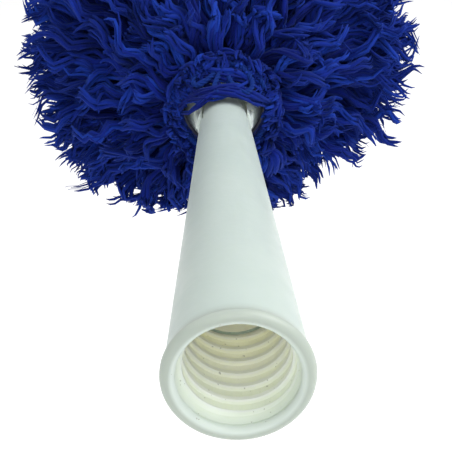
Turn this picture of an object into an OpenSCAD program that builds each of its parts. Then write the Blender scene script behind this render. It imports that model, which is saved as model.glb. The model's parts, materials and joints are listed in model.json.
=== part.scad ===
// Fluffy duster head on a tapered socket handle, lying along +Y with +Z up.
// Origin: on the axis, at the shoulder where a pole stops inside the socket.
// Lengths along the duster are measured from the open end of the socket.

/* [Handle] */
// Distance from the open end to the tilt axis
handle_len = 150; // [120:1:180]
// Outer diameter of the rolled bead at the open end
bead_d = 34; // [30:0.5:40]
// Thickness of the rolled bead
bead_t = 3.4; // [2.5:0.1:5]
// Outer diameter of the taper just behind the bead
taper_mouth_d = 32.4; // [28:0.2:38]
// Outer diameter of the taper at the tilt axis
taper_top_d = 16.3; // [14:0.1:20]

/* [Socket thread] */
// Diameter across the thread crests, which is also the plain bore
crest_d = 24.6; // [20:0.1:28]
// Radial depth of the thread
thread_depth = 0.8; // [0.4:0.1:1.2]
// Distance from one turn to the next
thread_pitch = 5; // [3:0.1:6]
// Axial width of the crest
crest_w = 1.1; // [0.5:0.1:2]
// Distance from the open end to the middle of the first turn
thread_start = 5.3; // [4:0.1:8]
// Width of the relief between the thread and the plain end of the bore
relief_w = 1.2; // [0.6:0.1:3]
// Length of the plain end of the bore, past the relief
plain_len = 13; // [8:1:20]
// Depth of the socket
socket_depth = 50; // [44:1:56]

/* [Tilt joint] */
// Width of the handle between the two ears
cheek_w = 14.8; // [12:0.1:18]
// Side gap between a cheek and its ear
cheek_gap = 0.3; // [0.2:0.05:0.6]
// Width over the two ears at the tilt axis
ear_outer_w = 18.6; // [18:0.1:26]
// Radius of the rounded end of each ear
ear_r = 5.6; // [5:0.1:9]
// Diameter of the pivot pin
pin_d = 5; // [3:0.1:7]
// Diameter of the pin head and of its cap
pin_head_d = 6.4; // [6:0.1:10]
// Largest diameter of the bell-shaped neck
bell_d = 28; // [24:0.5:32]

/* [Core] */
// Outer diameter of the core tube
core_d = 27.4; // [20:0.1:30]
// Wall of the core tube
core_wall = 1.8; // [0.8:0.1:3]
// Length of the core tube
core_len = 268; // [200:1:340]
// Diameter of the cross pin that fixes the core tube
cross_pin_d = 3.2; // [2:0.1:5]

/* [Sleeve] */
// Inner diameter of the knitted backing
backing_d = 28.6; // [24:0.1:34]
// Thickness of the knitted backing
backing_t = 0.9; // [0.5:0.1:2]
// Thickness of the hem over the backing
hem_t = 1.5; // [0.8:0.1:3]
// Diameter of the drawstring
cord_d = 1.8; // [1:0.1:3]

/* [Pile] */
// Number of rings of pile
row_count = 12; // [12:1:12]
// Largest radius of the pile, near the middle of its length
pile_r = 82; // [60:1:100]
// Height below the axis at which the pile rests pressed flat
pile_rest = 57; // [40:1:80]
// Gap left between two rings of pile
row_gap = 0.4; // [0.3:0.1:1]

/* [Hidden] */

$fn = 96;
// Length of a cutter that passes right through
through = 40;
// Overlap of two shapes that make one piece
lap = 1;

bead_r = bead_t / 2;
lip_c = bead_d / 2 - bead_r;
crest_r = crest_d / 2;
valley_r = crest_r + thread_depth;
top_r = taper_top_d / 2;
taper_start = 2.6;
// Inside of the lip: radius and distance at its outer edge, then where its cone meets the bore
lip_r = lip_c - 1.1;
lip_y = 1.9;
cone_r = valley_r + 0.1;
cone_y = 4.5;
lead_in = 5.6;
// Step from the bore down to the hollow of the taper
shoulder_w = 1.5;
cavity_end = handle_len - 14;
cavity_wall = 3;
cavity_round = 4;
// Angle from the seam at which the thread starts, and straight steps in a turn
start_angle = 249;
turn_steps = 36;
// Width of the groove between two crests, at the crests and at its root
groove_w = thread_pitch - crest_w * 0.6;
root_w = thread_pitch - crest_w * 2.4;
groove_clear = 0.3;
// The thread runs out into the relief
relief_end = socket_depth - plain_len;
relief_start = relief_end - relief_w;
thread_end = relief_start - groove_w / 2 + groove_clear;

cheek_x = cheek_w / 2;
cheek_clear = 3.4;
ear_x0 = cheek_x + cheek_gap;
ear_x1 = ear_outer_w / 2;
ear_flare = 3;
pin_r = pin_d / 2;
pin_run = 0.08;
pin_grip = 0.02;
head_r = pin_head_d / 2;
// Flat round seats for the pin head and its cap
spot_x = ear_x1 - 0.4;
spot_gap = 0.3;
head_gap = 0.05;
head_t = 0.9;
head_bevel = 0.4;
cap_grip = 0.6;
dome_lap = 0.1;

slot_end = handle_len + 9;
neck_foot = slot_end - handle_len + 0.8;
bell_r = bell_d / 2;
bell_end = slot_end + 7;
neck_end = bell_end + 2;
rim_bevel = 0.8;
rim_round = 1.5;
core_r = core_d / 2;
core_bore = core_r - core_wall;
plug_gap = 0.1;
spigot_r = core_bore - plug_gap;
spigot_wall = 2;
spigot_len = 30;
core_start = neck_end + 0.2;
core_end = core_start + core_len;
cross_y = neck_end + 16;
cross_hole_r = cross_pin_d / 2 + 0.05;
cross_reach = core_r - 0.3;
// Length of the end cap's plug, the bevel of its tip, and the steps of its rounded end
cap_plug = 12;
cap_bevel = [0.7, 1.5];
CAP_END = [[0, 1.4], [3.5, 4.2], [8, 5.4], [core_r, 5.8]];

hem_start = slot_end + 1.5;
hem_len = 5;
backing_r = backing_d / 2;
backing_out = backing_r + backing_t;
backing_end = core_end + 7;
backing_round = 3;
cord_r = cord_d / 2;
wrap_r = backing_r + cord_r + 0.1;
wrap_y = hem_start - cord_r - 0.6;
wrap_step = cord_d * 0.9;
// Knot on top of the neck, its two bow loops and two loose ends
knot_r = 2.3;
knot_z = wrap_r + 1.4;
knot_y = wrap_y - cord_r;
loop_r = 3.4;
loop_tilt = [20, 12];
tail_len = 9;
tail_tilt = [75, 24];
tail_x = 1.2;

pile_in = backing_out + 0.3;
pile_start = hem_start + hem_len + 0.4;
pile_end = backing_end + 8;
row_len = (pile_end - pile_start) / row_count;
ring_steps = 3;
// Share of the way along the pile, and share of the largest radius there
OUTLINE = [[0, 0.44], [0.035, 0.74], [0.08, 0.87], [0.14, 0.94], [0.25, 0.93],
           [0.3, 0.9], [0.37, 0.95], [0.5, 1], [0.62, 0.96], [0.75, 0.98],
           [0.86, 0.88], [0.94, 0.7], [1, 0.42]];

function pile_at(y) = pile_r * lookup((y - pile_start) / (pile_end - pile_start), OUTLINE);

// Moves a shape measured from the open end so that the socket's shoulder is at the origin
module from_mouth() {
    translate([0, -socket_depth, 0])
        children();
}

// Turns a shape made round Z so that it lies along +Y
module along_y() {
    rotate([-90, 0, 0])
        rotate([0, 0, 45])
            children();
}

// Turns a shape made round Z so that it lies along the tilt axis
module along_x(x) {
    translate([x, handle_len, 0])
        rotate([0, 90, 0])
            children();
}

// One turn after another of the gap between two thread crests
module thread_groove() {
    steps = floor((thread_end - thread_start) / thread_pitch * turn_steps);
    inner_r = crest_r - groove_clear;
    section = [[inner_r, -groove_w / 2], [valley_r, -root_w / 2],
               [valley_r, root_w / 2], [inner_r, groove_w / 2]];
    points = [for (i = [0:steps], p = section)
        let (a = start_angle + i * 360 / turn_steps)
        [p[0] * cos(a), p[0] * sin(a), thread_start + thread_pitch * i / turn_steps + p[1]]];
    sides = [for (i = [0:steps - 1], k = [0:3], t = [0:1])
        let (a = 4 * i + k, b = 4 * i + (k + 1) % 4)
        t == 0 ? [a, b, b + 4] : [a, b + 4, a + 4]];
    last = 4 * steps;
    polyhedron(points, concat([[3, 2, 1, 0]], sides, [[last, last + 1, last + 2, last + 3]]));
}

// Half section of the hollow taper
module taper_section() {
    polygon([[lip_r, lip_y], [cone_r, cone_y], [crest_r, lead_in],
             [crest_r, relief_start], [valley_r, relief_start],
             [valley_r, relief_end], [crest_r, relief_end],
             [crest_r, socket_depth], [crest_r - shoulder_w, socket_depth],
             [top_r - cavity_wall, cavity_end - cavity_round], [0, cavity_end], [0, handle_len],
             [top_r, handle_len], [taper_mouth_d / 2, taper_start]]);
}

module handle() {
    color("white")
        from_mouth()
            difference() {
                along_y() {
                    rotate_extrude()
                        taper_section();
                    rotate_extrude()
                        translate([lip_c, bead_r])
                            circle(bead_r);
                    translate([0, 0, handle_len])
                        sphere(top_r + dome_lap);
                }
                along_y()
                    thread_groove();
                for (side = [-1, 1])
                    translate([side * (cheek_x + top_r), handle_len, 0])
                        cube([2 * top_r, 2 * (ear_r + cheek_clear), through], center = true);
                along_x(-through / 2)
                    cylinder(h = through, r = pin_r + pin_run);
            }
}

// Outer shape of the bell-shaped neck, from the ears to the shoulder of the core
module bell() {
    ear_start = handle_len - ear_r - lap;
    along_y()
        rotate_extrude()
            polygon([[0, ear_start], [ear_x1, ear_start], [ear_x1, handle_len],
                     [bell_r - 1, slot_end + 1.5], [bell_r, bell_end - rim_round],
                     [bell_r, bell_end], [bell_r - rim_bevel, neck_end], [0, neck_end]]);
}

// Side view of the ears and of the body that joins them
module ear_outline() {
    flare_y = neck_foot + lap;
    flare_r = ear_r + ear_flare;
    translate([-through / 2, handle_len, 0])
        rotate([90, 0, 90])
            linear_extrude(through) {
                circle(ear_r);
                polygon([[0, lap - ear_r], [flare_y, -flare_r], [flare_y, flare_r], [0, ear_r - lap]]);
                translate([neck_foot, -through / 2])
                    square([through / 2, through]);
            }
}

module yoke() {
    color("white")
        from_mouth()
            difference() {
                union() {
                    intersection() {
                        bell();
                        ear_outline();
                    }
                    along_y()
                        translate([0, 0, neck_end - lap])
                            cylinder(h = spigot_len + lap, r = spigot_r);
                }
                translate([-ear_x0, slot_end - through, -through / 2])
                    cube([2 * ear_x0, through, through]);
                along_y()
                    translate([0, 0, neck_end])
                        cylinder(h = spigot_len + lap, r = spigot_r - spigot_wall);
                along_x(-through / 2)
                    cylinder(h = through, r = pin_r + pin_grip);
                for (x = [-spot_x - through, spot_x])
                    along_x(x)
                        cylinder(h = through, r = head_r + spot_gap);
                cross_hole();
            }
}

module pivot_pin() {
    seat_x = spot_x + head_gap;
    color("white") from_mouth() {
        along_x(-seat_x)
            cylinder(h = seat_x + spot_x + cap_grip, r = pin_r);
        along_x(-seat_x - head_t)
            cylinder(h = head_t, r1 = head_r - head_bevel, r2 = head_r);
    }
}

module pin_cap() {
    color("white")
        from_mouth()
            difference() {
                along_x(spot_x + head_gap)
                    cylinder(h = head_t, r1 = head_r, r2 = head_r - head_bevel);
                along_x(spot_x - lap)
                    cylinder(h = lap + cap_grip + head_gap, r = pin_r + pin_grip);
            }
}

// Hole for the cross pin, right through the core
module cross_hole() {
    translate([0, cross_y, -through / 2])
        cylinder(h = through, r = cross_hole_r);
}

module core_tube() {
    color("ivory")
        from_mouth()
            difference() {
                along_y()
                    translate([0, 0, core_start])
                        cylinder(h = core_len, r = core_r);
                along_y()
                    translate([0, 0, core_start - lap])
                        cylinder(h = core_len + 2 * lap, r = core_bore);
                cross_hole();
            }
}

module cross_pin() {
    color("silver")
        from_mouth()
            translate([0, cross_y, -cross_reach])
                cylinder(h = 2 * cross_reach, r = cross_pin_d / 2);
}

module end_cap() {
    plug_start = core_end - cap_plug;
    plug_r = core_bore - plug_gap;
    seat_y = core_end + plug_gap;
    color("ivory")
        from_mouth()
            along_y()
                rotate_extrude()
                    polygon(concat([[0, plug_start], [plug_r - cap_bevel[0], plug_start],
                                    [plug_r, plug_start + cap_bevel[1]],
                                    [plug_r, seat_y], [core_r, seat_y]],
                                   [for (p = CAP_END) [core_r - p[0], core_end + p[1]]]));
}

module backing() {
    bend_y = core_end + 1.5;
    inner_end = backing_end - backing_t;
    color("navy")
        from_mouth()
            along_y()
                rotate_extrude()
                    polygon([[backing_r, hem_start], [backing_out, hem_start],
                             [backing_out, bend_y], [backing_r - backing_round, backing_end - 1],
                             [0, backing_end], [0, inner_end],
                             [backing_r - backing_round, inner_end - 1], [backing_r, bend_y]]);
}

// Folded edge that forms the channel of the drawstring
module hem() {
    end_r = hem_t / 2;
    mid_r = backing_out + 0.1 + end_r;
    color("navy")
        from_mouth()
            along_y()
                rotate_extrude() {
                    translate([mid_r - end_r, hem_start + end_r])
                        square([hem_t, hem_len - hem_t]);
                    for (y = [hem_start + end_r, hem_start + hem_len - end_r])
                        translate([mid_r, y])
                            circle(end_r);
                }
}

module cord_ring(r) {
    rotate_extrude()
        translate([r, 0])
            circle(cord_r, $fn = 32);
}

// Two turns round the neck, a knot on top, two bow loops and two loose ends
module drawstring() {
    color("royalblue") from_mouth() {
        for (i = [0, 1])
            translate([0, wrap_y - i * wrap_step, 0])
                along_y()
                    cord_ring(wrap_r);
        translate([0, knot_y, knot_z])
            sphere(knot_r);
        for (side = [-1, 1]) {
            translate([side * (loop_r + tail_x), knot_y, knot_z + 1])
                rotate([loop_tilt[0], side * loop_tilt[1], 0])
                    cord_ring(loop_r);
            translate([side * tail_x, knot_y, knot_z])
                rotate([tail_tilt[0], 0, side * tail_tilt[1]]) {
                    cylinder(h = tail_len, r = cord_r, $fn = 32);
                    translate([0, 0, tail_len])
                        sphere(cord_r * 1.25);
                }
        }
    }
}

// One ring of pile: a soft ring with a sloping outline, flat where it rests
module pile_row(i) {
    y0 = pile_start + i * row_len;
    y1 = y0 + row_len - row_gap;
    outer = [for (k = [0:ring_steps])
        let (y = y0 + (y1 - y0) * k / ring_steps)
        [pile_at(y), y]];
    color([0.12, 0.2, 0.6])
        from_mouth()
            intersection() {
                along_y()
                    rotate_extrude()
                        polygon(concat([[pile_in, y1], [pile_in, y0]], outer));
                translate([-2 * pile_r, y0 - lap, -pile_rest])
                    cube([4 * pile_r, row_len + 2 * lap, 4 * pile_r]);
            }
}

handle();
yoke();
pivot_pin();
pin_cap();
core_tube();
cross_pin();
end_cap();
backing();
hem();
drawstring();
pile_row(0);  // pile_row_01
pile_row(1);  // pile_row_02
pile_row(2);  // pile_row_03
pile_row(3);  // pile_row_04
pile_row(4);  // pile_row_05
pile_row(5);  // pile_row_06
pile_row(6);  // pile_row_07
pile_row(7);  // pile_row_08
pile_row(8);  // pile_row_09
pile_row(9);  // pile_row_10
pile_row(10);  // pile_row_11
pile_row(11);  // pile_row_12
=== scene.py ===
"""Looks for the feather duster head: yarn pile, knitted sleeve, drawstring and moulded plastic."""

import json
import math

import bpy
import numpy as np
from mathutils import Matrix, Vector


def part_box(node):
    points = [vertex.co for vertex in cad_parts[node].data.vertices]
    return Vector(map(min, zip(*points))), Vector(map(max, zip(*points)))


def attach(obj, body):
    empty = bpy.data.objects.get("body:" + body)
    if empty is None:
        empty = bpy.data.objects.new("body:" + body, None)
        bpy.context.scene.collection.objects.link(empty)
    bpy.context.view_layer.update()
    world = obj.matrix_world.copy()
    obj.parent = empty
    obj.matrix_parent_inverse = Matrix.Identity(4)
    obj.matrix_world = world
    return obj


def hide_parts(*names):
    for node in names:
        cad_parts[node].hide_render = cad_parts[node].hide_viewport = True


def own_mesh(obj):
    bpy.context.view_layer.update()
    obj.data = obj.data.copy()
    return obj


MM = 0.001
TAU = 2 * math.pi

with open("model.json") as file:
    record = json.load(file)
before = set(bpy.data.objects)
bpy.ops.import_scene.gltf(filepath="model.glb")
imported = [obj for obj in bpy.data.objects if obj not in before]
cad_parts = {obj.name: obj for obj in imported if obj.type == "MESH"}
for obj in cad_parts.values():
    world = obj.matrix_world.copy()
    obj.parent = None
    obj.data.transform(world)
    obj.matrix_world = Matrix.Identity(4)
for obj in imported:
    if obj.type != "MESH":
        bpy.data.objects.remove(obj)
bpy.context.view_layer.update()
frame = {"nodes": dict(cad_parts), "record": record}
nodes = frame["nodes"]

# ---- places, worked out from the frame -------------------------------------------------

mouth_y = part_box("handle")[0].y
crest_r = next(m["dims"]["r_mm"] for m in frame["record"]["mounts"]) * MM
hem_lo, hem_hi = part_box("hem")
backing_lo, backing_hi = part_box("backing")
ear_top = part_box("yoke")[1].z - 5 * MM
rows = sorted(n for n in nodes if n.startswith("pile_row_"))
pile_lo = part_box(rows[0])[0]
pile_end_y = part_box(rows[-1])[1].y
rest_z = min(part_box(r)[0].z for r in rows)
backing_r = backing_hi.x
BACKING_T = 0.9 * MM
BACKING_BORE_R = backing_r - BACKING_T
HEM_BORE_R = backing_r + 0.1 * MM
hem_r = hem_hi.x
CORD_R = 0.9 * MM
wrap_r = -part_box("drawstring")[0].z - CORD_R
wrap_y = hem_lo.y - CORD_R - 0.6 * MM


# ---- meshes ----------------------------------------------------------------------------

def new_object(name, points, quads, caps=(), uvs=None, attributes=None, smooth=True):
    """A mesh object from arrays.

    points is (n, 3), quads is (m, 4), and caps are (k, sides) arrays of larger faces.
    """
    mesh = bpy.data.meshes.new(name)
    groups = [np.asarray(quads)] + [np.asarray(c) for c in caps]
    loops = np.concatenate([g.ravel() for g in groups])
    sizes = np.concatenate([np.full(len(g), g.shape[1]) for g in groups])
    starts = np.concatenate([[0], np.cumsum(sizes)[:-1]])
    mesh.vertices.add(len(points))
    mesh.vertices.foreach_set("co", np.asarray(points, np.float32).ravel())
    mesh.loops.add(len(loops))
    mesh.loops.foreach_set("vertex_index", loops.astype(np.int32))
    mesh.polygons.add(len(sizes))
    mesh.polygons.foreach_set("loop_start", starts.astype(np.int32))
    mesh.polygons.foreach_set("use_smooth", np.full(len(sizes), smooth))
    if uvs is not None:
        layer = mesh.uv_layers.new(name="UVMap")
        layer.data.foreach_set("uv", np.asarray(uvs, np.float32)[loops].ravel())
    for key, values in (attributes or {}).items():
        attribute = mesh.attributes.new(key, "FLOAT", "POINT")
        attribute.data.foreach_set("value", np.asarray(values, np.float32).ravel())
    mesh.update(calc_edges=True)
    mesh.validate()
    made = bpy.data.objects.new(name, mesh)
    bpy.context.scene.collection.objects.link(made)
    return made


def unit(v):
    return v / np.maximum(np.linalg.norm(v, axis=-1, keepdims=True), 1e-12)


def tubes(name, paths, radii, sides, attributes=None):
    """Tapered tubes as one mesh. paths is (n, k, 3), radii (n, k); attributes are (n, k) arrays."""
    n, k, _ = paths.shape
    tangent = unit(np.gradient(paths, axis=1))
    side = unit(np.cross(tangent, np.array([0.31, 0.17, 0.93])))
    other = np.cross(tangent, side)
    turn = np.arange(sides) * TAU / sides
    ring = (side[:, :, None] * np.cos(turn)[:, None] + other[:, :, None] * np.sin(turn)[:, None])
    points = paths[:, :, None] + ring * radii[:, :, None, None]
    base = (np.arange(n) * k * sides)[:, None, None] + (np.arange(k - 1) * sides)[None, :, None]
    a = base + np.arange(sides)
    b = base + (np.arange(sides) + 1) % sides
    quads = np.stack([a, b, b + sides, a + sides], -1).reshape(-1, 4)
    first = (np.arange(n) * k * sides)[:, None] + np.arange(sides)[::-1]
    last = (np.arange(n) * k * sides)[:, None] + (k - 1) * sides + np.arange(sides)
    steps = np.linalg.norm(np.diff(paths, axis=1), axis=2)
    run = np.concatenate([np.zeros((n, 1)), np.cumsum(steps, axis=1)], axis=1)
    u = np.broadcast_to(np.abs(np.arange(sides) / sides - 0.5), (n, k, sides))
    v = np.broadcast_to((run / 0.01)[:, :, None], (n, k, sides))
    spread = {key: np.broadcast_to(val[:, :, None], (n, k, sides)).ravel()
              for key, val in (attributes or {}).items()}
    return new_object(name, points.reshape(-1, 3), quads, (first, last),
                      np.stack([u, v], -1).reshape(-1, 2), spread)


def lathe(name, profile, segments, ripple):
    """A closed surface turned about the Y axis.

    profile is a closed loop of (radius, y), and ripple moves its points.
    """
    k = len(profile)
    turn = np.arange(segments) * TAU / segments
    radius = np.broadcast_to(profile[:, 0][None], (segments, k)).copy()
    along = np.broadcast_to(profile[:, 1][None], (segments, k)).copy()
    radius, along = ripple(turn[:, None], radius, along)
    points = np.stack([radius * np.cos(turn)[:, None], along, radius * np.sin(turn)[:, None]], -1)
    i = np.arange(segments)[:, None]
    j = np.arange(k)[None]
    a = i * k + j
    b = ((i + 1) % segments) * k + j
    c = ((i + 1) % segments) * k + (j + 1) % k
    d = i * k + (j + 1) % k
    quads = np.stack([a, d, c, b], -1).reshape(-1, 4)
    uv = np.stack([np.broadcast_to(turn[:, None] / TAU, (segments, k)), along / 0.01], -1)
    return new_object(name, points.reshape(-1, 3), quads, (), uv.reshape(-1, 2))


# ---- materials -------------------------------------------------------------------------

class Shader:
    """A material and short ways to add nodes to it."""

    def __init__(self, name):
        self.material = bpy.data.materials.new(name)
        self.material.use_nodes = True
        self.tree = self.material.node_tree
        self.bsdf = self.tree.nodes["Principled BSDF"]

    def node(self, kind, **values):
        made = self.tree.nodes.new(kind)
        for key, value in values.items():
            if hasattr(made, key):
                setattr(made, key, value)
            else:
                made.inputs[key].default_value = value
        return made

    def link(self, source, target):
        self.tree.links.new(source, target)

    def set(self, **values):
        for key, value in values.items():
            self.bsdf.inputs[key.replace("_", " ")].default_value = value

    def attribute(self, name):
        return self.node("ShaderNodeAttribute", attribute_name=name).outputs["Fac"]

    def noise(self, scale, detail=3.0, vector=None, roughness=0.5):
        made = self.node("ShaderNodeTexNoise")
        made.inputs["Scale"].default_value = scale
        made.inputs["Detail"].default_value = detail
        made.inputs["Roughness"].default_value = roughness
        self.link(vector or self.node("ShaderNodeTexCoord").outputs["Object"], made.inputs["Vector"])
        return made.outputs["Fac"]

    def math(self, operation, a, b=None, clamp=False):
        made = self.node("ShaderNodeMath", operation=operation, use_clamp=clamp)
        for socket, value in zip(made.inputs, (a, b)):
            if value is None:
                continue
            if isinstance(value, (int, float)):
                socket.default_value = value
            else:
                self.link(value, socket)
        return made.outputs[0]

    def ramp(self, fac, stops):
        made = self.node("ShaderNodeValToRGB")
        ramp = made.color_ramp
        while len(ramp.elements) < len(stops):
            ramp.elements.new(0.5)
        for element, (place, colour) in zip(ramp.elements, stops):
            element.position = place
            element.color = (*colour, 1)
        self.link(fac, made.inputs["Fac"])
        return made.outputs["Color"]

    def mix(self, fac, a, b):
        made = self.node("ShaderNodeMix", data_type="RGBA")
        for index, value in ((0, fac), (6, a), (7, b)):
            if isinstance(value, (int, float)):
                made.inputs[index].default_value = value
            elif isinstance(value, tuple):
                made.inputs[index].default_value = (*value, 1)
            else:
                self.link(value, made.inputs[index])
        return made.outputs[2]

    def map_range(self, value, start, end):
        made = self.node("ShaderNodeMapRange")
        made.inputs["From Min"].default_value = start
        made.inputs["From Max"].default_value = end
        self.link(value, made.inputs["Value"])
        return made.outputs["Result"]

    def bump(self, height, strength, distance):
        made = self.node("ShaderNodeBump", Strength=strength, Distance=distance)
        self.link(height, made.inputs["Height"])
        self.link(made.outputs["Normal"], self.bsdf.inputs["Normal"])


def grey(value):
    return (value, value, value)


def plastic_white():
    """Slightly milky moulded plastic: cool outside, warmer and greener inside the socket. Inside, painted
    light makes the wall paler for light coming through it, with painted highlights on the thread crests;
    the bead at the mouth is painted darker as painted shade.
    """
    s = Shader("plastic_white")
    s.set(Specular_IOR_Level=0.4, Subsurface_Weight=0.55, Subsurface_Scale=0.006)
    s.bsdf.inputs["Subsurface Radius"].default_value = (1.0, 1.0, 0.8)
    coord = s.node("ShaderNodeTexCoord")
    parts = s.node("ShaderNodeSeparateXYZ")
    s.link(coord.outputs["Object"], parts.inputs[0])
    flat = s.node("ShaderNodeCombineXYZ")
    s.link(parts.outputs["X"], flat.inputs["X"])
    s.link(parts.outputs["Z"], flat.inputs["Z"])
    radial = s.node("ShaderNodeVectorMath", operation="NORMALIZE")
    s.link(flat.outputs[0], radial.inputs[0])
    facing = s.node("ShaderNodeVectorMath", operation="DOT_PRODUCT")
    s.link(radial.outputs["Vector"], facing.inputs[0])
    s.link(coord.outputs["Normal"], facing.inputs[1])
    radius = s.node("ShaderNodeVectorMath", operation="LENGTH")
    s.link(flat.outputs[0], radius.inputs[0])
    turned_in = s.map_range(facing.outputs["Value"], -0.05, -0.5)
    in_socket = s.math("MULTIPLY", s.math("LESS_THAN", radius.outputs["Value"], crest_r + 0.01 * MM),
                       s.math("LESS_THAN", parts.outputs["Y"], 0.01))
    inside = s.math("MAXIMUM", turned_in, in_socket)
    # Painted light: deeper in the socket the wall is painted paler, warmer and greener for light coming
    # through the thin wall; the thread crests get a painted highlight, and the grooves far down get a
    # yellower painted shade.
    deep = s.map_range(parts.outputs["Y"], mouth_y + 1.5 * MM, mouth_y + 42 * MM)
    groove_painted_light = s.ramp(deep, [(0, (0.49, 0.55, 0.52)), (0.12, (0.76, 0.82, 0.72)), (0.5, (0.93, 0.955, 0.79)),
                           (1, (0.86, 0.84, 0.53))])
    crest_painted_light = s.ramp(deep, [(0, (0.52, 0.58, 0.55)), (0.2, (0.86, 0.90, 0.84)), (1, (0.91, 0.91, 0.74))])
    in_groove = s.map_range(radius.outputs["Value"], crest_r + 0.15 * MM, crest_r + 0.5 * MM)
    socket_painted_light = s.mix(in_groove, crest_painted_light, groove_painted_light)
    cloud = s.noise(60, 3)
    shell = s.mix(cloud, (0.415, 0.49, 0.46), (0.45, 0.515, 0.485))
    # Painted shade: the shell is painted darker over the bead at the mouth.
    bead_painted_shade = s.map_range(parts.outputs["Y"], mouth_y + 6 * MM, mouth_y + 2 * MM)
    shell = s.mix(bead_painted_shade, shell, (0.345, 0.39, 0.355))
    colour = s.mix(inside, shell, socket_painted_light)
    specks = s.math("MULTIPLY", s.math("GREATER_THAN", s.noise(900, 1), 0.745), inside)
    s.link(s.mix(s.math("MULTIPLY", specks, 0.5), colour, (0.16, 0.15, 0.12)), s.bsdf.inputs["Base Color"])
    roughness = s.ramp(s.noise(140, 4), [(0.3, grey(0.3)), (0.7, grey(0.44))])
    s.link(roughness, s.bsdf.inputs["Roughness"])
    s.bump(s.noise(420, 4), 0.12, 0.0004)
    return s.material


def plastic_core():
    s = Shader("plastic_core")
    s.set(Roughness=0.5, Specular_IOR_Level=0.4)
    s.link(s.mix(s.noise(45, 3), (0.70, 0.69, 0.62), (0.76, 0.75, 0.68)), s.bsdf.inputs["Base Color"])
    s.bump(s.noise(350, 3), 0.15, 0.0005)
    return s.material


def steel():
    s = Shader("steel")
    s.set(Metallic=1.0)
    stretch = s.node("ShaderNodeMapping")
    stretch.inputs["Scale"].default_value = (0.1, 1, 1)
    s.link(s.node("ShaderNodeTexCoord").outputs["Object"], stretch.inputs["Vector"])
    brushed = s.noise(1500, 2, stretch.outputs["Vector"])
    s.link(s.mix(brushed, (0.52, 0.52, 0.53), (0.66, 0.66, 0.67)), s.bsdf.inputs["Base Color"])
    s.link(s.ramp(brushed, [(0.2, grey(0.25)), (0.8, grey(0.42))]), s.bsdf.inputs["Roughness"])
    return s.material


def yarn(name, dark, mid, light):
    """Brushed yarn: a shade for each lock, painted light making it paler towards the tip where light shines
    through, with fibres along it.
    """
    s = Shader(name)
    s.set(Roughness=0.9, Specular_IOR_Level=0.06, Sheen_Weight=0.10, Sheen_Roughness=0.5,
          Sheen_Tint=(0.25, 0.45, 1.0, 1))
    shade = s.attribute("shade")
    along = s.attribute("along")
    own = s.ramp(shade, [(0.0, dark), (0.55, mid), (1.0, light)])
    # Painted light: each strand is painted paler towards its tip, for light shining through the tips.
    tip = s.mix(s.math("POWER", along, 2.2), own, light)
    tip = s.mix(0.35, own, tip)
    uv = s.node("ShaderNodeTexCoord").outputs["UV"]
    stretch = s.node("ShaderNodeMapping")
    stretch.inputs["Scale"].default_value = (9, 1.1, 1)
    s.link(uv, stretch.inputs["Vector"])
    fibres = s.noise(3.2, 3, stretch.outputs["Vector"], 0.6)
    s.link(s.mix(s.math("MULTIPLY", fibres, 0.45), tip, dark), s.bsdf.inputs["Base Color"])
    s.bump(fibres, 0.6, 0.0006)
    return s.material


def knit():
    s = Shader("knit")
    s.set(Roughness=0.9, Specular_IOR_Level=0.15, Sheen_Weight=0.3)
    s.link(s.mix(s.noise(500, 3), (0.012, 0.022, 0.13), (0.03, 0.05, 0.25)), s.bsdf.inputs["Base Color"])
    s.bump(s.noise(1800, 2), 0.4, 0.0004)
    return s.material


def paint(obj, material):
    obj.data.materials.clear()
    obj.data.materials.append(material)


# ---- yarn pile -------------------------------------------------------------------------

# Shades of the yarn. LIGHT also paints the strands paler towards their tips, as painted light.
DARK = (0.002, 0.002, 0.055)
MID = (0.005, 0.013, 0.190)
LIGHT = (0.012, 0.052, 0.420)
ALONG = np.array([0, 1.0, 0])
UP = np.array([0, 0, 1.0])
DOWN = -UP
# Places along a strand: FINE on the line that it follows, STEPS on its own mesh.
FINE = 48
STEPS = 1 - (1 - np.linspace(0, 1, 13)) ** 1.45
# Locks in a ring, strands in a lock, a strand's full radius and the sides of its tube.
LOCKS = 248
PER_LOCK = 8
THICK = 0.80 * MM
SIDES = 4
# Turn from one lock to the next, as a share of a full turn, so that no two line up.
GOLDEN = 0.61803
# Reach of the pile at its near and far ends, as shares of its widest.
NECK_SHARE = 0.44
END_SHARE = 0.40
# Depth over which the underside is pressed flat, and how much of what is lost goes sideways.
PRESS = 10 * MM
SPREAD = 0.12
# Angle, width and depth of the parting at the lower right.
PARTING = -0.82
PARTING_WIDTH = 0.32
PARTING_DEPTH = 0.19
# Room over the ears for loose yarn on top and at the sides, and how far the ears lie behind the hem.
TOP_LIFT = 2.1 * MM
SIDE_LIFT = 3.2 * MM
EARS_BACK = 13 * MM
# Strand radii of the loose yarn round the neck, and strands in each of its locks.
NECK_THICK = 0.70 * MM
COLLAR_THICK = 0.72 * MM
PER_NECK_LOCK = 3

widest = max(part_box(r)[1].x for r in rows)
row_ends = np.array([pile_lo.y] + [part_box(r)[1].y for r in rows[:-1]] + [pile_end_y])
row_reach = np.array([widest * NECK_SHARE] + [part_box(r)[1].x for r in rows[:-1]] + [widest * END_SHARE])


def smooth_step(x):
    x = np.clip(x, 0, 1)
    return x * x * (3 - 2 * x)


def outline(y):
    """Radius of the pile at a place y along the duster."""
    return np.interp(y, row_ends, row_reach)


def parted(angle):
    """Share of the full reach at each angle: the pile parts a little at its lower right."""
    away = (angle - PARTING + math.pi) % TAU - math.pi
    return 1 - PARTING_DEPTH * np.exp(-(away / PARTING_WIDTH) ** 2)


def round_axis(angle, radius, y):
    return np.stack([radius * np.cos(angle), y, radius * np.sin(angle)], -1)


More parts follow.
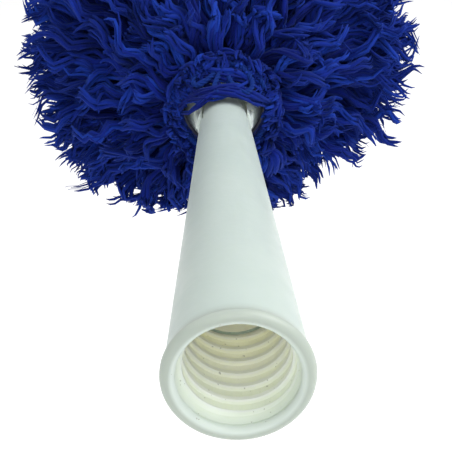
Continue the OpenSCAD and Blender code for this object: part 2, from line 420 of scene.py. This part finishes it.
def press_flat(paths, slack):
    """Yarn that would sink into the surface it lies on spreads out along it instead."""
    over = np.maximum(rest_z + slack + PRESS - paths[..., 2], 0)
    lost = over - PRESS * (1 - np.exp(-over / PRESS))
    paths[..., 2] += lost
    paths[..., 0] += np.sign(paths[..., 0]) * lost * SPREAD
    return paths


def guides(rng, root, tip, start, end, bend, wave):
    """Wavy centrelines from root to tip, leaving along start and arriving along end."""
    n = len(root)
    t = np.linspace(0, 1, FINE)[None, :, None]
    gap = np.linalg.norm(tip - root, axis=1)[:, None]
    p1 = root + start * gap * 0.42 + rng.normal(0, bend, (n, 3)) * 0.6
    p2 = tip - end * gap * 0.34 + rng.normal(0, bend, (n, 3))
    a, b, c, d = (p[:, None] for p in (root, p1, p2, tip))
    curve = a * (1 - t) ** 3 + 3 * b * t * (1 - t) ** 2 + 3 * c * t * t * (1 - t) + d * t ** 3
    e1 = unit(np.cross(unit(tip - root), rng.normal(size=(n, 3))))
    e2 = np.cross(unit(tip - root), e1)
    for lap, size in ((0.024, 1.0), (0.010, 0.42)):
        turns = TAU * t[..., 0] * gap / lap * rng.uniform(0.8, 1.25, n)[:, None]
        swing = wave * size * rng.uniform(0.5, 1.3, n)[:, None] * np.sqrt(t[..., 0])
        curve = curve + e1[:, None] * (swing * np.sin(turns + rng.uniform(0, TAU, n)[:, None]))[..., None]
        curve = curve + e2[:, None] * (swing * np.sin(turns + rng.uniform(0, TAU, n)[:, None]))[..., None]
    return curve, e1, e2


def split(rng, curve, e1, e2, per_lock, apart, part_at_tip):
    """Strands of each lock, twisted round their guide, resampled at STEPS."""
    curve, e1, e2 = (np.repeat(a, per_lock, axis=0) for a in (curve, e1, e2))
    m = len(curve)
    t = np.linspace(0, 1, FINE)[None]
    spin = rng.uniform(0, TAU, m)[:, None] + t * rng.uniform(-7, 7, m)[:, None]
    away = apart * rng.uniform(0.35, 1.1, m)[:, None] * np.minimum(1, 0.4 + 2 * t)
    away = away + part_at_tip * rng.uniform(0, 1, m)[:, None] ** 3 * t ** 4
    paths = curve + e1[:, None] * (away * np.cos(spin))[..., None]
    paths = paths + e2[:, None] * (away * np.sin(spin))[..., None]
    ends = 1 - 0.2 * rng.uniform(0, 1, m) ** 2
    picks = STEPS[None] * ends[:, None] * (FINE - 1)
    low = np.floor(picks).astype(int)
    high = np.minimum(low + 1, FINE - 1)
    part = (picks - low)[..., None]
    index = np.arange(m)[:, None]
    return paths[index, low] * (1 - part) + paths[index, high] * part


def strand_radii(rng, count, thick):
    """Slim at the root, fullest past the middle, with a blunt tip; one in six ends as a fine thread."""
    t = STEPS[None]
    body = 0.62 + 0.38 * smooth_step(t / 0.55)
    blunt = np.sqrt(np.clip(1 - t ** 9, 0, 1)) * 0.9 + 0.1
    fine = 1 - 0.86 * smooth_step((t - 0.35) / 0.6)
    tip = np.where(rng.uniform(0, 1, count)[:, None] < 1 / 6, fine, blunt)
    knobs = 1 + 0.13 * np.sin(t * rng.uniform(20, 40, count)[:, None] + rng.uniform(0, TAU, count)[:, None])
    return thick * rng.uniform(0.6, 1.25, count)[:, None] * body * tip * knobs


def strands(name, rng, paths, thick, per_lock, body, material):
    count = len(paths)
    shape = (count, len(STEPS))
    lock = np.repeat(rng.normal(0.5, 0.22, count // per_lock), per_lock)
    shade = np.clip(lock + rng.normal(0, 0.13, count), 0, 1)[:, None]
    made = tubes(name, paths, strand_radii(rng, count, thick), SIDES,
                 {"shade": np.broadcast_to(shade, shape), "along": np.broadcast_to(STEPS[None], shape)})
    paint(made, material)
    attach(made, body)
    return made


def over_neck(back, lift):
    """Radius that clears the cord at the hem and, further back, the ears."""
    return np.interp(back, [0, EARS_BACK], [wrap_r + 2.0 * MM, ear_top + lift])


def wisps(rng, angle, furthest, lift):
    """Loose yarn that falls back from the near end of the pile over the neck.

    It reaches back by up to furthest, and its tips stay lift above the ears.
    """
    count = len(angle)
    back = rng.uniform(0.25, 1, count) * furthest
    side = rng.normal(0, 0.30, count)
    root = round_axis(angle, hem_r - 0.4 * MM, hem_hi.y + rng.uniform(-2, 3, count) * MM)
    over = over_neck(back, lift) + rng.uniform(0, 1.8, count) * MM
    tip = round_axis(angle + side, over, hem_lo.y - back)
    start = unit(round_axis(angle, 1.0, -0.2 * np.ones(count)))
    end = unit(round_axis(angle + side, -0.35, -np.ones(count)) + rng.normal(0, 0.35, (count, 3)))
    curve, e1, e2 = guides(rng, root, tip, start, end, 1.1 * MM, 0.9 * MM)
    return split(rng, curve, e1, e2, PER_NECK_LOCK, 0.9 * MM, 1.2 * MM)


def bands(rng, count, furthest):
    """Yarn drawn sideways over the neck, in two loose bands with a gap between them.

    Each lock leaves the hem on one side and comes back to it on the other.
    """
    t = np.linspace(0, 1, FINE)[None]
    left = np.radians(rng.uniform(125, 190, count))[:, None]
    right = np.radians(rng.uniform(-10, 55, count))[:, None]
    angle = left * (1 - t) + right * t
    lean = rng.uniform(0.6, 1.7, count)[:, None]
    reach = rng.choice([0.38, 0.93], count) + rng.normal(0, 0.06, count)
    back = reach[:, None] * furthest * np.sin(math.pi * t ** lean) ** 0.6
    over = over_neck(back, TOP_LIFT)
    ripple = 1.2 * MM * np.sin(t * rng.uniform(9, 20, count)[:, None] + rng.uniform(0, TAU, count)[:, None])
    rise = rng.uniform(0, 1.6, count)[:, None] * MM
    curve = round_axis(angle, over + rise, hem_lo.y - back + ripple)
    along = np.broadcast_to(ALONG, (count, 3))
    up = np.broadcast_to(UP, (count, 3))
    return split(rng, curve, along, up, PER_NECK_LOCK, 1.3 * MM, 2 * MM)


def collar(rng, count):
    """Short yarn round the near edge that curls back and hides the drawstring."""
    angle = (np.arange(count) * GOLDEN % 1) * TAU + rng.normal(0, 0.1, count)
    root = round_axis(angle, hem_r - 0.3 * MM, hem_lo.y + rng.uniform(1, 6, count) * MM)
    tip = round_axis(angle + rng.normal(0, 0.3, count), wrap_r + rng.uniform(-0.6, 6, count) * MM,
                     wrap_y - rng.uniform(1.5, 6.5, count) * MM)
    start = unit(round_axis(angle, 1.0, -0.3 * np.ones(count)))
    end = unit(round_axis(angle, -0.25, -np.ones(count)) + rng.normal(0, 0.4, (count, 3)))
    curve, e1, e2 = guides(rng, root, tip, start, end, 1.2 * MM, 0.9 * MM)
    return split(rng, curve, e1, e2, PER_NECK_LOCK, 0.9 * MM, 1.2 * MM)


def pile_locks(rng, index, locks):
    """Roots on the knitted backing and tips on the pile's outline, for one ring."""
    low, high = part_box(rows[index])
    share = (np.arange(locks) + rng.uniform(0, 1, locks)) / locks
    angle = (np.arange(locks) * GOLDEN % 1) * TAU + rng.normal(0, 0.06, locks)
    if index == 0:
        root_y = low.y + (high.y - low.y) * share ** 1.6 * 0.95
        tip_y = low.y - 3 * MM + (high.y - low.y + 3 * MM) * share ** 1.25
    elif index == len(rows) - 1:
        root_y = low.y + (high.y - low.y - 9 * MM) * share
        tip_y = root_y + (9 + 13 * share) * MM
    else:
        root_y = low.y + (high.y - low.y) * share
        tip_y = root_y + rng.normal(0, 4.5, locks) * MM
    tip_y = tip_y + rng.normal(0, 2.0, locks) * MM
    far = outline(tip_y) * parted(angle) * np.minimum(rng.normal(0.99, 0.06, locks), 1.07)
    if index == 0:
        far = np.maximum(far, backing_r + 16 * MM)
    drift = rng.normal(0, 0.10, locks)
    root = round_axis(angle, backing_r - 0.3 * MM, root_y)
    tip = round_axis(angle + drift, far, tip_y)
    out = round_axis(angle, 1.0, np.zeros(locks))
    lean = np.interp(root_y, [pile_lo.y, pile_lo.y + 0.02], [-0.45, 0.0])[:, None]
    start = unit(out + ALONG * (lean + rng.normal(0, 0.15, (locks, 1))))
    end = unit(round_axis(angle + drift, 1.0, np.zeros(locks)) + DOWN * rng.uniform(0, 0.6, (locks, 1))
               + rng.normal(0, 0.28, (locks, 3)))
    return guides(rng, root, tip, start, end, 4.6 * MM, 2.5 * MM)


def end_tuft(rng, locks):
    """Yarn on the closed far end of the backing, pointing forward and out."""
    angle = (np.arange(locks) * GOLDEN % 1) * TAU
    share = np.sqrt((np.arange(locks) + 0.5) / locks)
    root = round_axis(angle, share * (backing_r - 3 * MM), np.full(locks, backing_hi.y - 0.8 * MM))
    tip = round_axis(angle, share * widest * END_SHARE, pile_end_y + (12 - 8 * share) * MM)
    tip = tip + rng.normal(0, 2.5, (locks, 3)) * MM
    forward = np.broadcast_to(ALONG, (locks, 3))
    return guides(rng, root, tip, forward, unit(tip - root), 2.5 * MM, 1.2 * MM)


yarn_blue = yarn("yarn_blue", DARK, MID, LIGHT)


def yarn_row(index):
    rng = np.random.default_rng(4100 + index)
    paths = split(rng, *pile_locks(rng, index, LOCKS), PER_LOCK, 1.5 * MM, 4.0 * MM)
    paths = press_flat(paths, rng.uniform(0, 5, len(paths))[:, None] * MM)
    name = rows[index].replace("pile_row", "yarn_row")
    made = strands(name, rng, paths, THICK, PER_LOCK, "sleeve", yarn_blue)
    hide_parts(rows[index])


for index in range(len(rows)):
    yarn_row(index)

end_rng = np.random.default_rng(4200)
end_paths = split(end_rng, *end_tuft(end_rng, 70), PER_LOCK, 1.1 * MM, 3.0 * MM)
tuft = strands("yarn_end_tuft", end_rng, end_paths, THICK, PER_LOCK, "sleeve", yarn_blue)
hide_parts(rows[-1])

neck_rng = np.random.default_rng(77)


def neck_yarn(name, paths, thick):
    return strands(name, neck_rng, paths, thick, PER_NECK_LOCK, "sleeve", yarn_blue)


top_angle = np.radians(90 + 42 * neck_rng.uniform(-1, 1, 26))
short_wisps = wisps(neck_rng, top_angle, 9 * MM, TOP_LIFT)
top_paths = np.concatenate([short_wisps, bands(neck_rng, 22, 16.5 * MM)])
neck_top = neck_yarn("neck_wisps_top", top_paths, NECK_THICK)
side_angle = np.radians(90 + neck_rng.choice([-1, 1], 90) * neck_rng.uniform(42, 108, 90))
neck_yarn("neck_wisps_side", wisps(neck_rng, side_angle, 11 * MM, SIDE_LIFT), NECK_THICK)
neck_yarn("neck_collar", collar(neck_rng, 240), COLLAR_THICK)

# ---- drawstring, hem and backing -------------------------------------------------------


def through_points(points, count):
    """A smooth Catmull-Rom line through given points."""
    points = np.asarray(points, float)
    ext = np.concatenate([[2 * points[0] - points[1]], points, [2 * points[-1] - points[-2]]])
    place = np.linspace(0, len(points) - 1, count)
    seg = np.minimum(place.astype(int), len(points) - 2)
    t = (place - seg)[:, None]
    p0, p1, p2, p3 = (ext[seg + k] for k in range(4))
    return 0.5 * (2 * p1 + (p2 - p0) * t + (2 * p0 - 5 * p1 + 4 * p2 - p3) * t ** 2
                  + (3 * p1 - p0 - 3 * p2 + p3) * t ** 3)


def rope(name, line, material):
    """A three-ply twisted cord along a line of points."""
    steps = np.linalg.norm(np.diff(line, axis=0), axis=1)
    run = np.concatenate([[0], np.cumsum(steps)])
    count = max(12, int(run[-1] / (0.35 * MM)))
    even = np.stack([np.interp(np.linspace(0, run[-1], count), run, line[:, k]) for k in range(3)], -1)
    tangent = unit(np.gradient(even, axis=0))
    side = unit(np.cross(tangent, np.array([0.31, 0.17, 0.93])))
    other = np.cross(tangent, side)
    turn = TAU * np.linspace(0, run[-1], count) / (5.5 * CORD_R)
    plies = []
    for ply in range(3):
        phase = turn + ply * TAU / 3
        plies.append(even + 0.5 * CORD_R * (side * np.cos(phase)[:, None] + other * np.sin(phase)[:, None]))
    paths = np.stack(plies)
    flat = np.full(paths.shape[:2], 0.5)
    ply_r = np.full(paths.shape[:2], 0.52 * CORD_R)
    made = tubes(name, paths, ply_r, 8, {"shade": flat, "along": flat * 0.4})
    paint(made, material)
    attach(made, "sleeve")
    return made


# Points are millimetres from the knot: across, along the duster and up.
BOW = {
    "bow_right": [(0, 0, 0), (4, -0.5, 0.6), (8, -4, -1.2), (9.6, -9, -3.8), (7.6, -12.5, -5.2),
                  (4, -11, -4.6), (1.5, -6, -2.0), (0, 0, 0)],
    "bow_left": [(0, 0, 0), (-4, 0.5, 0.8), (-8, -1.5, -0.8), (-10.5, -5, -4), (-8.5, -7.5, -4.4),
                 (-5, -6, -2.4), (-2, -3, -0.6), (0, 0, 0)],
    "tail_right": [(0, 0, 0.5), (3, -1, 0.8), (8, -1.5, -0.8), (12, -2.5, -3.6), (14, -4, -7)],
    "tail_left": [(0, 0, 0.5), (-1, -4, -0.6), (-3, -9, -3.0), (-3.5, -12, -4.6), (-2, -14, -5.0)],
}
knot = np.array([0, wrap_y - CORD_R, wrap_r + 1.6 * MM])
cord_blue = yarn("cord_blue", (0.003, 0.006, 0.07), (0.006, 0.030, 0.21), (0.015, 0.070, 0.33))
turns = np.linspace(0.25, 2.25, 140) * TAU
wrap = round_axis(turns, wrap_r, wrap_y - (turns / TAU - 0.25) * 1.8 * CORD_R)
wrap_cord = rope("drawstring_wrap", wrap, cord_blue)
loose_ends = [rope(name, knot + through_points(points, 80) * MM, cord_blue)
              for name, points in BOW.items()]
loop = np.linspace(0, TAU, 120)
trefoil = np.stack([np.sin(loop) + 2 * np.sin(2 * loop), -np.sin(3 * loop) * 0.9,
                    np.cos(loop) - 2 * np.cos(2 * loop)], -1)
knot_cord = rope("drawstring_knot", knot + trefoil * 0.72 * MM, cord_blue)
for piece in [wrap_cord, knot_cord] + loose_ends:
    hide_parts("drawstring")
# Each piece that hangs over the neck gets a mesh of its own.
for piece in [neck_top] + loose_ends:
    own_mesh(piece)


COURSE = 2.2 * MM
PUCKERS = 31


def knitted_tube(name, segments, courses):
    """The backing: rows of knit stitches on a tube that closes over the end of the core."""
    wall = backing_hi.x - BACKING_BORE_R
    dome = 9 * MM
    along = np.linspace(0, 1, courses)
    y = backing_lo.y + (backing_hi.y - wall - backing_lo.y) * along
    past = np.clip((y - (backing_hi.y - dome)) / dome, 0, 1)
    inner = BACKING_BORE_R * np.sqrt(np.clip(1 - past ** 5, 0, 1)) + 0.05 * MM
    outer = np.minimum(inner + wall, backing_hi.x)
    lift = np.where(past > 0, wall * past, 0)
    profile = np.concatenate([np.stack([outer, y + lift], -1), np.stack([inner, y], -1)[::-1]])

    def stitches(turn, radius, height):
        loops = np.abs(np.sin(turn * segments / 8)) * np.abs(np.sin(height / COURSE * math.pi))
        outside = np.arange(profile.shape[0])[None] < courses
        return radius - np.where(outside, 0.25 * MM * (1 - loops), 0), height

    made = lathe(name, profile, segments, stitches)
    paint(made, knitted)
    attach(made, "sleeve")
    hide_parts("backing")
    return made


def gathered_hem(name, segments):
    """The folded edge: a soft roll of cloth, puckered by the drawstring."""
    middle = np.array([(hem_lo.y + hem_hi.y) / 2, (HEM_BORE_R + hem_r) / 2])
    half = np.array([(hem_hi.y - hem_lo.y) / 2, (hem_r - HEM_BORE_R) / 2])
    turn = np.linspace(0, TAU, 24, endpoint=False)
    shape = np.sign(np.cos(turn)) * np.abs(np.cos(turn)) ** 0.55
    profile = np.stack([middle[1] + half[1] * np.sin(turn), middle[0] + half[0] * shape], -1)

    def puckers(angle, radius, height):
        deep = 0.5 + 0.5 * np.cos(angle * PUCKERS + 1.5 * np.sin(angle * 5))
        outward = np.clip((radius - middle[1]) / half[1], 0, 1)
        return radius - 0.45 * MM * deep * outward, height + 0.3 * MM * np.sin(angle * 17) * outward

    made = lathe(name, profile, segments, puckers)
    paint(made, knitted)
    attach(made, "sleeve")
    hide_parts("hem")
    return made


knitted = knit()
backing_cloth = knitted_tube("knitted_backing", 192, 220)
hem_cloth = gathered_hem("gathered_hem", 248)

# ---- plastic and metal -----------------------------------------------------------------

white = plastic_white()
for name in ("handle", "yoke", "pivot_pin", "pin_cap"):
    paint(nodes[name], white)
ivory = plastic_core()
for name in ("core_tube", "end_cap"):
    paint(nodes[name], ivory)
paint(nodes["cross_pin"], steel())

# ---- stage -----------------------------------------------------------------------------

# The floor lies below the lowest point that the head reaches when the neck tilts right down.
FLOOR_SIZE = 40.0
floor_z = mouth_y - pile_end_y
floor = new_object("floor", np.array([[-1, -1, 0], [1, -1, 0], [1, 1, 0], [-1, 1, 0]]) * FLOOR_SIZE
                   + np.array([0, 0, floor_z]), np.array([[0, 1, 2, 3]]), smooth=False)
pale = Shader("pale_floor")
pale.set(Roughness=0.9, Specular_IOR_Level=0.1)
pale.bsdf.inputs["Base Color"].default_value = (0.95, 0.95, 0.95, 1)
pale.bsdf.inputs["Emission Color"].default_value = (1, 1, 1, 1)
pale.set(Emission_Strength=0.16)
paint(floor, pale.material)


def area_light(name, place, aim, size, power):
    data = bpy.data.lights.new(name, "AREA")
    data.shape = "DISK"
    data.size = size
    data.energy = power
    made = bpy.data.objects.new(name, data)
    bpy.context.scene.collection.objects.link(made)
    made.location = place
    made.rotation_euler = (Vector(aim) - Vector(place)).to_track_quat("-Z", "Y").to_euler()
    return made


middle = (0, 0.12, 0)
area_light("key", (0.9, -0.2, 1.2), middle, 1.3, 22)
area_light("fill", (-1.1, -0.5, 0.9), middle, 1.2, 3)
area_light("front", (0, -0.98, 0.49), (0, mouth_y, 0), 0.5, 2.3)

world = bpy.data.worlds.new("studio")
world.use_nodes = True
world.node_tree.nodes["Background"].inputs["Color"].default_value = (1, 1, 1, 1)
world.node_tree.nodes["Background"].inputs["Strength"].default_value = 0.75
scene = bpy.context.scene
scene.world = world
scene.view_settings.view_transform = "Standard"

# ---- camera ----------------------------------------------------------------------------

LENS_MM = 79.65
CAMERA_FROM_MOUTH = Vector((-6.5, -173.3, 128.3)) * MM
CAMERA_PITCH = 27.7
CAMERA_YAW = 1.26
camera_data = bpy.data.cameras.new("camera")
camera_data.lens = LENS_MM
camera_data.sensor_width = 36
camera = bpy.data.objects.new("camera", camera_data)
scene.collection.objects.link(camera)
camera.location = Vector((0, mouth_y, 0)) + CAMERA_FROM_MOUTH
camera.rotation_euler = (math.radians(90 - CAMERA_PITCH), 0, math.radians(-CAMERA_YAW))
scene.camera = camera
